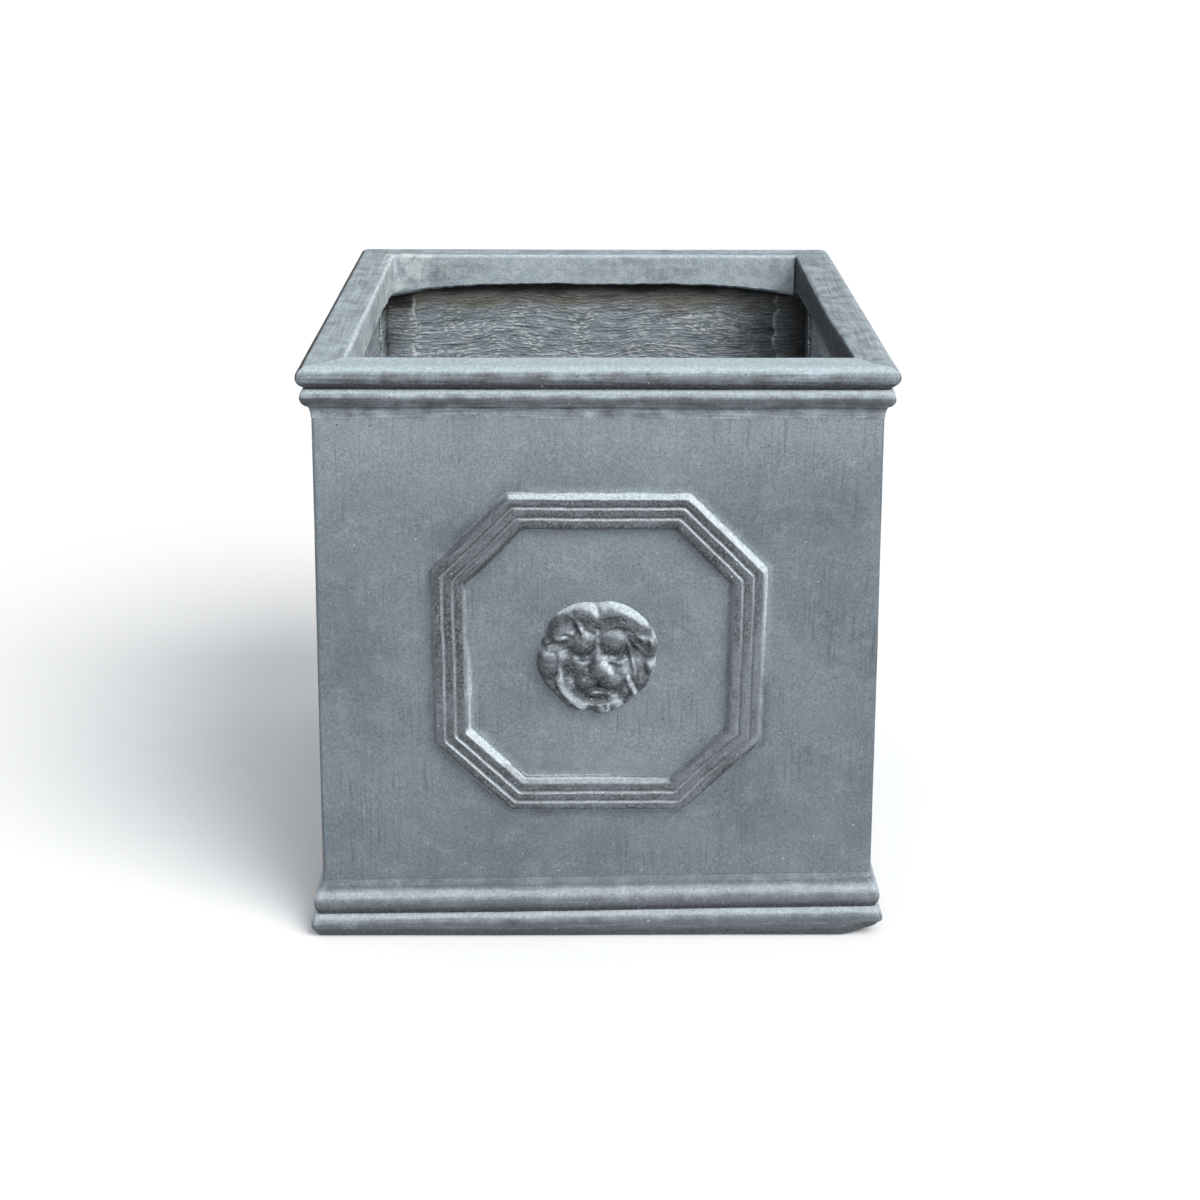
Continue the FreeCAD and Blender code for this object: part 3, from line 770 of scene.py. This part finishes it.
# Locks: crown height and fall in millimetres, half width, and the points they run through.
mask_locks = (
    (9.4, 3.6, 15, (-40, 76), (-22, 78), (-7, 70)),
    (10.8, 3.4, 5, (-48, 84), (-38, 76), (-29, 64), (-27, 52)),
    (9.3, 3.8, 14, (8, 76), (25, 79), (47, 73), (67, 60), (80, 44)),
    (10.8, 3.6, 7, (14, 61), (32, 67), (52, 62), (66, 49), (74, 36)),
    (8.8, 3.2, 9, (56, 42), (70, 27), (83, 14)), (9.6, 4, 10, (86, 46), (92, 28), (90, 13)),
    (9.8, 3, 3.5, (49, 30), (55, 10), (57, -8)), (9.9, 3.4, 5, (48, -28), (55, -42), (61, -55)),
    (9.4, 3, 7, (-60, 15), (-61, -8), (-61, -35), (-53, -53), (-40, -68), (-25, -79)),
    (9.5, 3, 5, (-80, 21), (-62, 24), (-46, 31)), (11.6, 3, 4.5, (-64, 49), (-53, 55), (-41, 50)),
    (9, 3, 3, (17, -66), (15, -80)), (9.4, 2.6, 3.2, (-40, 6.5), (-30, 4.5), (-19, 6.5)),
    (9.6, 2.6, 3.2, (19, 7.5), (31, 5.5), (42, 8.5)),
    (10.4, 2.4, 2.5, (-22, -49), (-10, -45.5), (2, -45), (16, -48)),
)

# Cuts: depth in millimetres, half width, and the points they run through.
mask_cuts = (
    (1.6, 3.5, (-44, 17), (-30, 11.5), (-12, 13)), (1.6, 3.5, (8, 13), (28, 12), (47, 18)),
    (1.3, 2.5, (-40, 1), (-29, -1), (-19, 0)), (1.3, 2.5, (20, 1), (31, 0), (42, 2)),
    (1.4, 3.5, (0, 62), (0, 20)), (1.8, 4, (1, 100), (0, 80), (1, 66)),
    (1.8, 2.5, (-30, -47), (-15, -42.5), (0, -41), (15, -43), (34, -50)), (1.2, 2.5, (2, -30), (1, -42)),
    (1.5, 3, (-20, -60), (0, -63), (18, -60)), (1.6, 3, (-36, -22), (-38, -36), (-32, -50)),
    (1.4, 3, (34, -22), (39, -36), (37, -48)),
    (1.8, 4, (-31, 40), (-30, 50), (-34, 62), (-42, 72), (-56, 79), (-70, 74)),
    (1.2, 3, (-66, 42), (-53, 46), (-44, 42)), (2, 4, (-100, 19), (-84, 17), (-68, 16)),
    (1.4, 3, (-78, 28), (-60, 31), (-48, 38)), (1.6, 4, (-95, -33), (-78, -31), (-64, -22)),
    (1.6, 3.5, (-66, -10), (-64, -32), (-54, -52), (-40, -70), (-22, -81)),
    (2.2, 4, (50, 46), (62, 37), (74, 22), (86, 8)), (1.8, 4, (10, 72), (34, 76), (56, 70), (76, 52)),
    (1.4, 3, (-30, 72), (-12, 66), (-4, 58)), (1.6, 3.5, (75, 2), (77, -20), (74, -42)),
    (1.4, 3, (56, -2), (53, -18), (56, -34)), (1.8, 4, (100, 8), (82, 6), (64, 7)),
    (1.8, 4, (76, -56), (60, -60), (47, -62)), (1.8, 4, (-6, -100), (-5, -88), (0, -78)),
    (1.4, 3, (25, -94), (22, -82), (24, -70)), (1.4, 3, (-74, -52), (-64, -46), (-56, -42)),
    (1.4, 3, (-62, -72), (-52, -66), (-44, -66)),
)

# Dark wax on the crowns and painted shade on the unlit sides, then chalky dust in the hollows and on the rim
# and painted highlight on the lit sides: share, half width and line.
mask_wax_and_shade = (
    (0.9, 8, (-36, 80), (-20, 76), (-5, 66)), (0.8, 8, (12, 72), (35, 72), (60, 60), (80, 50)),
    (0.8, 8, (55, 42), (72, 36), (85, 20)), (0.8, 5, (-78, 42), (-72, 62), (-57, 73), (-38, 68), (-31, 52)),
    (1, 13, (-38, 28), (-22, 22), (-10, 30)), (0.9, 13, (15, 28), (28, 22), (42, 25)),
    (0.8, 5, (-88, 31), (-85, 31)), (1, 10, (-52, -6), (-38, -20)),
    (1, 13, (-12, -25), (10, -30), (30, -42)), (1, 10, (-28, -42), (-15, -50)),
    (0.8, 6, (-5, -44), (20, -46)), (1, 8, (-12, -60), (10, -60)),
    (0.7, 5, (-97, 5), (-98, -15), (-90, -38)), (1.1, 8, (-80, -44), (-72, -60)),
    (1.1, 10, (-68, -66), (-55, -82), (-34, -95)), (0.8, 8, (-5, -85), (0, -98), (20, -97)),
    (0.6, 12, (-85, -5), (-80, -20)), (0.7, 9, (68, -15), (72, -40), (68, -58)),
    (0.7, 6, (42, -45), (50, -70)), (0.7, 3, (20, -2), (35, -5)), (0.8, 5, (-10, 2), (-13, -15)),
)
mask_chalk_and_highlight = (
    (0.9, 4, (-62, 76), (-40, 91), (-10, 96)), (0.9, 4, (-12, 93), (-1, 80)),
    (0.9, 4.5, (8, 92), (30, 96), (60, 80), (85, 56), (98, 32)),
    (0.9, 3.5, (-46, 74), (-36, 66), (-24, 56)), (0.7, 5, (-24, 54), (-8, 42)),
    (0.4, 5, (10, 50), (30, 53), (47, 38)), (0.8, 4, (0, 50), (0, 12)),
    (0.8, 5, (50, 48), (75, 45), (90, 38)), (0.9, 3.5, (-65, 43), (-52, 44), (-42, 38)),
    (0.6, 5, (-85, 16), (-66, 18), (-50, 20)), (0.6, 6, (-55, 10), (-50, 5)),
    (0.7, 3, (-40, 3), (-25, -3), (-15, 0)), (0.9, 3, (17, 2), (32, -1), (46, 5)),
    (0.7, 5, (10, 8), (20, 6)), (1, 6, (10, 0), (20, -14), (30, -30)), (0.4, 12, (43, -12), (46, -20)),
    (0.6, 3, (55, 10), (60, -10), (60, -20)), (0.7, 5, (-21, -27), (-20, -26)),
    (0.6, 6, (-45, -30), (-40, -42)), (0.7, 5, (-62, -28), (-60, -40), (-52, -55), (-40, -69), (-27, -79)),
    (0.9, 2, (-12, -50), (0, -49), (17, -51)), (0.6, 5, (20, -58), (33, -62)),
    (0.7, 5, (-20, -74), (0, -76), (20, -74), (38, -66)), (0.7, 3, (17, -76), (17, -90)),
    (0.9, 4.5, (52, -38), (60, -52), (64, -62)), (0.8, 4, (82, -2), (95, -5), (93, -25)),
    (0.8, 4, (-62, -5), (-60, -20)),
)


def off_line(x, y, half, points):
    """Distance to the nearest part of a line through points, in half widths."""
    points = [(across / 100, up / 100) for across, up in points]
    far = np.full(x.shape, 9.0)
    for (x1, y1), (x2, y2) in zip(points, points[1:]):
        run_x, run_y = x2 - x1, y2 - y1
        share = np.clip(((x - x1) * run_x + (y - y1) * run_y) / (run_x ** 2 + run_y ** 2), 0, 1)
        far = np.minimum(far, np.hypot(x - x1 - share * run_x, y - y1 - share * run_y))
    return far / (half / 100)


def painted(x, y, strokes):
    """How much of a finish lies at each point, from strokes of a share, a half width and a line."""
    total = 0
    for share, half, *points in strokes:
        total = np.maximum(total, share * hump(off_line(x, y, half, points), 0, 1))
    return total


def mask_height(x, y):
    """Height of the lion's mask over the wall: lumps and locks run softly into each other, then cuts."""
    heights = [6.8 - 3.6 * (x ** 2 + y ** 2)]
    for *place, turn, crown, fall in mask_lumps:
        across, rise, wide, tall = (value / 100 for value in place)
        c, s = math.cos(math.radians(turn)), math.sin(math.radians(turn))
        u, v = x - across, y - rise
        heights.append(crown - fall * (((c * u + s * v) / wide) ** 2 + ((c * v - s * u) / tall) ** 2))
    for crown, fall, half, *points in mask_locks:
        heights.append(crown - fall * off_line(x, y, half, points) ** 2)
    height = np.log(np.sum(np.exp(blend * np.maximum(np.array(heights), -20)), axis=0)) / blend
    for depth, half, *points in mask_cuts:
        height = height - cut_share * depth * hump(off_line(x, y, half, points), 0, 1)
    return height


angles = np.linspace(0, 2 * math.pi, ring_points, endpoint=False)
steps = np.linspace(0, 2 * math.pi, len(outline_shares) + 1)
edge = np.interp(angles, steps, outline_shares + outline_shares[:1])
for _ in range(14):
    edge = (np.roll(edge, 1) + edge + np.roll(edge, -1)) / 3
shares = np.linspace(0.012, 1, ring_count)
shares = np.concatenate([shares, [1.012, 1.012, 0.5, 0.012]])
x = shares[:, None] * edge * np.cos(angles)
y = shares[:, None] * edge * np.sin(angles)
height = mask_height(x, y)
height = height * smooth_step(-shares, -1.003, -0.92)[:, None] ** 0.5
height = np.clip(height, 0, mask_box[1, 1] - mask_box[0, 1])
height[ring_count] = 0.0
height[ring_count + 1:] = -seat_depth
mask_grid = np.stack([x * mask_radius, y * mask_radius * 1.01, height], axis=-1)
mask_faces = grid_faces(*mask_grid.shape[:2], round_columns=True)
last = (len(shares) - 1) * ring_points
mask_faces = [face for face in mask_faces if face[0] < last]
mask_faces.append(list(range(ring_points)))
mask_faces.append([last + k for k in reversed(range(ring_points))])
wax_and_shade = painted(x, y, mask_wax_and_shade)
chalk_and_highlight = painted(x, y, mask_chalk_and_highlight)
for quarters, side in enumerate(SIDES):
    grid = mask_grid.copy()
    flat = grid * (1, 1, 0)
    hair = 0.38 * lumps(flat, 2.6, 140 + quarters) + 0.3 * lumps(flat, 1.3, 145 + quarters)
    rubbed = 1 + 0.6 * lumps(flat, 3.0, 147 + quarters) + 0.8 * lumps(flat, 1.3, 148 + quarters)
    grid[:ring_count, :, 2] += (hair * (grid[..., 2] > 1))[:ring_count]
    grid[..., 2] = np.minimum(grid[..., 2], mask_top)
    points = wander(turned(seat(grid, mask_middle), quarters))
    # Painted shade and highlight come with the wax and chalk tables; painted highlight also on faces towards
    # the key light.
    extra = {"dirt_and_shade": (wax_and_shade - chalk_and_highlight) * rubbed, "dust_and_highlight": 0.75 * chalk_and_highlight * rubbed - 1.1 * wax_and_shade + 0.09}
    make_piece("lion_boss_" + side, "lion_mask_" + side, points, mask_faces, [relief_finish],
               brush_map(grid[..., 0], grid[..., 1], quarters), extra, hollow_size=2.2,
               dust_and_highlight_range=(0.62, 1.15), dust_and_highlight_side=turned(np.array([0.4, 0.0, 0.92]), quarters))

# Corner laps
# Strips of fibre mat, wetted with the inner coat and folded into the four inside corners. Their edges are
# torn and lie a little proud of the walls.
CORNERS = ("front_left", "front_right", "back_right", "back_left")
lap_low = 26.5
lap_high = 380.6
lap_rows = 120
lap_section = [(0.0, 0.3), (6, 0.2), (14, 0.1), (22, 0.1), (27, 0.1), (30, 0.1), (30.6, 0.7), (29.6, 1.5),
               (27, 2.0), (22, 2.3), (14, 2.4), (6.5, 3.2), (4.2, 4.2)]
lap_plan = np.array(lap_section + [(deep, along) for along, deep in lap_section[-2:0:-1]])
lap_faces = grid_faces(len(lap_plan), lap_rows)
z = np.linspace(lap_low, lap_high, lap_rows)
line_z = np.stack([0 * z, 0 * z, z], axis=-1)
inner = (wall_out(z) - wall_thick)[:, None]
for quarters, corner_name in enumerate(CORNERS):
    torn = 0.9 + 0.14 * lumps(line_z, 16, 150 + quarters) + 0.08 * lumps(line_z, 5, 155 + quarters)
    plan = lap_plan[None] * np.where(lap_plan > 8, torn[:, None, None], 1)
    grid = np.stack([plan[..., 0] - inner, plan[..., 1] - inner, z[:, None] + 0 * plan[..., 0]], axis=-1)
    coarse = 0.5 * lumps(grid, 6, 160 + quarters) + 0.5 * lumps(grid * (1, 1, 0.4), 3, 165 + quarters)
    proud = (np.minimum(plan[..., 0], plan[..., 1]) > 0.5)[..., None]
    grid[..., :2] += np.where(proud, coarse[..., None] * 0.6, 0)
    points = wander(turned(grid, quarters))
    # Darker away from the torn rim, whose fibres are pale, with painted shade in the back right corner and
    # in the pocket under the lip at the back left, and stained under the lip
    shade = {"back_left": 0.18, "back_right": 0.62}.get(corner_name, 0.15)
    shade = shade + 0.25 * lumps(grid, 20, 180 + quarters)
    if corner_name == "back_left":
        shade = shade + 0.9 * smooth_step(grid[..., 2] + 2 * lumps(grid, 5, 185), 369, 371.5)
    rim = smooth_step(plan.max(axis=-1) / torn[:, None], 26.5, 29.5)
    fibres = lumps(grid, (4, 4, 7), 190 + quarters) + lumps(grid, 30, 195 + quarters)
    fibres = rim * smooth_step(fibres, 0.1, 0.6) * (0.05 if corner_name == "back_right" else 0.8)
    stain = 0.8 * smooth_step(grid[..., 2] + 4 * lumps(grid, 22, 3), 358, 374)
    run = brush_map(grid[..., 0] + grid[..., 1], grid[..., 2])
    extra = {"dirt_and_shade": (shade * (1 - rim)).T, "bloom": fibres.T, "stain": stain.T}
    make_piece("mat_lap_" + corner_name, "corner_strip_" + corner_name,
               points.transpose(1, 0, 2), lap_faces, [brushed_coat], run.transpose(1, 0, 2), extra,
               hollow_size=6)

# Floor
# A slab of the same concrete as the walls, let in between their feet and trowelled rough on top. Water runs
# out through one drain hole in its middle.
floor_box = np.array(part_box("floor_slab")) * 1000
floor_half = floor_box[1, 0] - 0.2
drain_radius = 14.0
floor_turns = 240
floor_rings = 64
angles = np.linspace(0, 2 * math.pi, floor_turns, endpoint=False) + math.pi / floor_turns
direction = np.stack([np.cos(angles), np.sin(angles)], axis=-1)
square = direction / np.abs(direction).max(axis=1, keepdims=True) * floor_half
low_z, high_z = floor_box[0, 2] + 0.1, floor_box[1, 2] - 0.1
hole = [(0, high_z - 1.2), (0.0, low_z + 1.0), (0.004, low_z)]
top = [(share, high_z) for share in np.linspace(1, 0.006, floor_rings)]
profile = hole + [(1, low_z), (1, (low_z + high_z) / 2)] + top + [(0.0015, high_z - 0.4)]
grid = []
for share, z in profile:
    ring = direction * drain_radius * (1 - share) + square * share
    grid.append(np.column_stack([ring, np.full(floor_turns, z)]))
grid = np.array(grid)
strokes = 0.7 * lumps(grid, (30, 6, 10), 170) + 0.6 * lumps(grid, (9, 12, 9), 171)
on_top = (grid[..., 2] > high_z - 0.05) * smooth_step(np.linalg.norm(grid[..., :2], axis=-1), 15, 30)
grid[..., 2] += (strokes - 1.0) * 0.7 * on_top
floor_faces = grid_faces(*grid.shape[:2], round_columns=True)
make_piece("floor_slab_cast", "floor_slab", grid, floor_faces, [brushed_coat],
           grid * (1, 1, 0) + (0, 0, 9000), hollow_size=3)

# Studio
# A plain pale floor, a soft key light high on the right, a weak fill and an even white surround.
floor_mesh = bpy.data.meshes.new("studio_floor")
floor_mesh.from_pydata([(-40, -40, 0), (40, -40, 0), (40, 40, 0), (-40, 40, 0)], [], [(0, 1, 2, 3)])
studio_floor = new_object("studio_floor", floor_mesh)
pale, _, shader = new_material("studio_white", 0.9, 0.1)
shader.inputs["Base Color"].default_value = (0.96, 0.965, 0.97, 1)
floor_mesh.materials.append(pale)


def facing(out):
    """Turn that points a lamp's back along a direction."""
    back = out / np.linalg.norm(out)
    right = np.cross((0, 0, 1), back)
    right = right / np.linalg.norm(right)
    return np.column_stack([right, np.cross(back, right), back]).tolist()


def lamp(name, kind, place, target, power, colour, **settings):
    """A lamp at a place, aimed at a target."""
    light = bpy.data.lights.new(name, kind)
    light.energy = power
    light.color = colour
    for key, value in settings.items():
        setattr(light, key, value)
    made = new_object(name, light)
    made.matrix_world = Matrix.Translation(place) @ Matrix(facing(np.subtract(place, target))).to_4x4()


lamp("key", "SUN", (1.1, -1.0, 1.4), (0, 0, 0), 2.3, (1.0, 0.99, 0.97), angle=0.7)
lamp("front", "AREA", (0.3, -0.9, 1.25), (0, 0, 0.35), 3, (0.96, 0.98, 1.0), size=0.7)
world = bpy.data.worlds.new("surround")
bpy.context.scene.world = world
world.use_nodes = True
background = world.node_tree.nodes["Background"]
background.inputs["Color"].default_value = (0.95, 0.975, 1.0, 1)
background.inputs["Strength"].default_value = 0.6
bpy.context.scene.view_settings.view_transform = "Standard"

# Camera
# It stands at the height and angle of the photograph, a little left of the middle.
camera_place = (-0.01047, -1.34724, 0.72274)
pitch, yaw, roll = 0.38364, -0.0102, 0.00369
camera_data = bpy.data.cameras.new("camera")
camera_data.sensor_width = 36
camera_data.lens = 55.645
camera_data.clip_start = 0.05
camera = new_object("camera", camera_data)
level_right = np.array([math.cos(yaw), math.sin(yaw), 0])
level_ahead = np.array([-math.sin(yaw), math.cos(yaw), 0])
ahead = math.cos(pitch) * level_ahead - math.sin(pitch) * np.array([0, 0, 1])
above = math.sin(pitch) * level_ahead + math.cos(pitch) * np.array([0, 0, 1])
right = math.cos(roll) * level_right + math.sin(roll) * above
above = math.cos(roll) * above - math.sin(roll) * level_right
camera.matrix_world = Matrix.Translation(camera_place) @ Matrix(
    np.column_stack([right, above, -ahead]).tolist()).to_4x4()
bpy.context.scene.camera = camera
